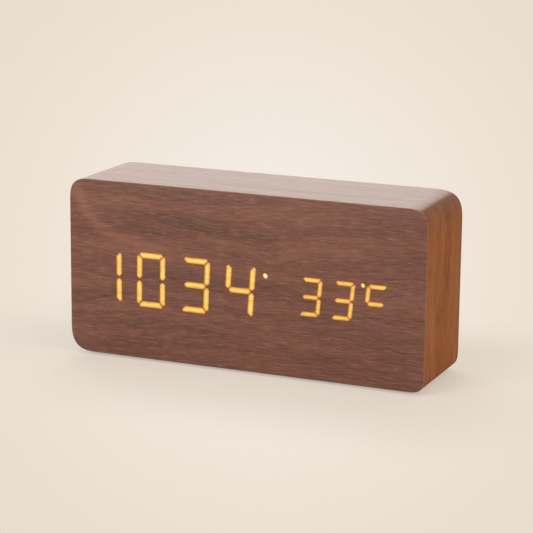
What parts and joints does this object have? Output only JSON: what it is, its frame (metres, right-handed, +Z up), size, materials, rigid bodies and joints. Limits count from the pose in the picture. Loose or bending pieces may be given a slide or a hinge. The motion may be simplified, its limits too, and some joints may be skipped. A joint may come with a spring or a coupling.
{
  "type": "digital alarm clock",
  "caption": "Digital alarm clock: walnut-veneered rounded block with amber seven-segment digits, rear keys, sound switch, power socket and battery door.",
  "frame": {"origin": "on the surface that the clock stands on, under the middle of its block", "axes": "+X to the right seen from the front, +Y from the front film to the back, +Z up"},
  "size_m": [0.15, 0.0416, 0.0717],
  "materials": {
    "mdf": "raw MDF, matt",
    "walnut_veneer": "walnut veneer with fine horizontal grain, satin",
    "walnut_band": "walnut veneer band, grain across the edge, satin",
    "black_abs": "fine-textured black ABS",
    "key_plastic": "smooth black ABS",
    "foot_rubber": "black rubber",
    "lit_guide": "frosted light guide, lit amber",
    "frosted_guide": "frosted light guide, unlit",
    "circuit_board": "green solder mask on glass epoxy",
    "steel": "zinc-plated steel",
    "nickel": "nickel-plated spring steel",
    "cell_jacket": "printed film jacket over a steel can",
    "ivory_plastic": "ivory nylon",
    "epoxy": "black moulded epoxy",
    "red_wire": "PVC wire insulation",
    "black_wire": "PVC wire insulation",
    "grey_ribbon": "flat ribbon cable"
  },
  "bodies": {
    "clock_block": {"alarm_dot_guide": "lit_guide", "back_board": "mdf", "back_housing": "black_abs", "back_veneer": "walnut_veneer", "battery_cell_1": "cell_jacket", "battery_cell_2": "cell_jacket", "battery_cell_3": "cell_jacket", "board_screw_1": "steel", "board_screw_2": "steel", "buzzer": "epoxy", "capacitor": "cell_jacket", "case_body": "mdf", "clock_chip": "epoxy", "coin_cell": "nickel", "coin_holder": "black_abs", "colon_guide": "frosted_guide", "contact_bridge_lower": "nickel", "contact_bridge_upper": "nickel", "contact_negative": "nickel", "contact_positive": "nickel", "crystal": "steel", "degree_dot_guide": "lit_guide", "degree_sign_guide": "lit_guide", "degree_tens_guide": "lit_guide", "degree_units_guide": "lit_guide", "display_board": "circuit_board", "display_mask": "black_abs", "down_key_switch": "epoxy", "foot_1": "foot_rubber", "foot_2": "foot_rubber", "foot_3": "foot_rubber", "foot_4": "foot_rubber", "front_veneer": "walnut_veneer", "hour_tens_guide": "lit_guide", "hour_units_guide": "lit_guide", "housing_screw_1": "steel", "housing_screw_2": "steel", "housing_screw_3": "steel", "housing_screw_4": "steel", "lead_black": "black_wire", "lead_red": "red_wire", "main_board": "circuit_board", "microphone": "steel", "minute_tens_guide": "lit_guide", "minute_units_guide": "lit_guide", "ribbon_cable": "grey_ribbon", "set_key_switch": "epoxy", "sound_switch_body": "steel", "temperature_sensor": "epoxy", "up_key_switch": "epoxy", "usb_socket": "nickel", "wrap_veneer": "walnut_band"},
    "set_key": {"set_button": "key_plastic", "set_plunger": "ivory_plastic"},
    "up_key": {"up_button": "key_plastic", "up_plunger": "ivory_plastic"},
    "down_key": {"down_button": "key_plastic", "down_plunger": "ivory_plastic"},
    "sound_lever": {"sound_switch_lever": "key_plastic"},
    "battery_lid": {"battery_door": "black_abs"}
  },
  "joints": [
    {"name": "set_press", "type": "slide", "parent": "clock_block", "child": "set_key", "axis": [0, -1, 0], "range_m": [0, 0.0008], "stiffness_N_per_m": 1500, "springref_m": -0.0004},
    {"name": "up_press", "type": "slide", "parent": "clock_block", "child": "up_key", "axis": [0, -1, 0], "range_m": [0, 0.0008], "stiffness_N_per_m": 1500, "springref_m": -0.0004},
    {"name": "down_press", "type": "slide", "parent": "clock_block", "child": "down_key", "axis": [0, -1, 0], "range_m": [0, 0.0008], "stiffness_N_per_m": 1500, "springref_m": -0.0004},
    {"name": "sound_slide", "type": "slide", "parent": "clock_block", "child": "sound_lever", "axis": [1, 0, 0], "range_m": [0, 0.002]},
    {"name": "battery_lid_hinge", "type": "hinge", "parent": "clock_block", "child": "battery_lid", "pos_m": [0.0328, 0.0205, 0.01835], "axis": [-1, 0, 0], "range_deg": [0, 90]}
  ]
}
